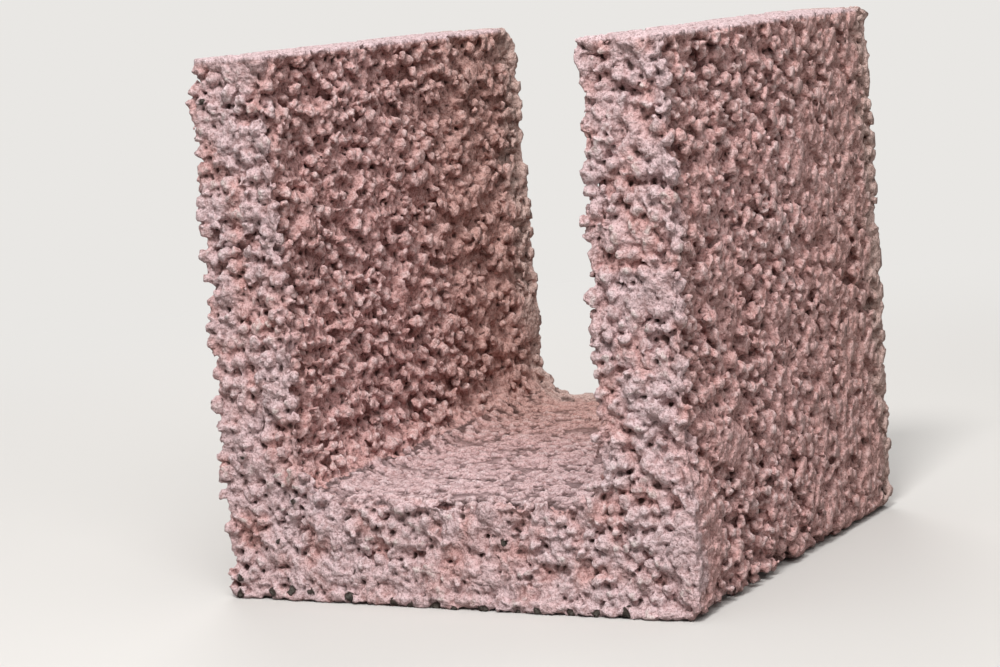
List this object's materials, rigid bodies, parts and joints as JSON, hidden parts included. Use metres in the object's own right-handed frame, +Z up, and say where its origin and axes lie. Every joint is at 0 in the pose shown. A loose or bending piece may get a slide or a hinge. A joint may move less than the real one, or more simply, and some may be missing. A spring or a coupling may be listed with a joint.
{
  "type": "u-shaped concrete block",
  "caption": "U-shaped block of open-pored lightweight concrete: a thick bed and upstanding walls round an open channel, used as lost formwork for a ring beam or lintel.",
  "frame": {"origin": "centre of the block's footprint on the plane that its bed face rests on", "axes": "+X across the channel, +Y along the channel from the rough cast end to the smooth cast end, +Z up out of the channel"},
  "size_m": [0.24, 0.24, 0.248],
  "materials": {
    "concrete": "rough, open-pored"
  },
  "bodies": {
    "root": {"u_block": "concrete"}
  },
  "joints": []
}
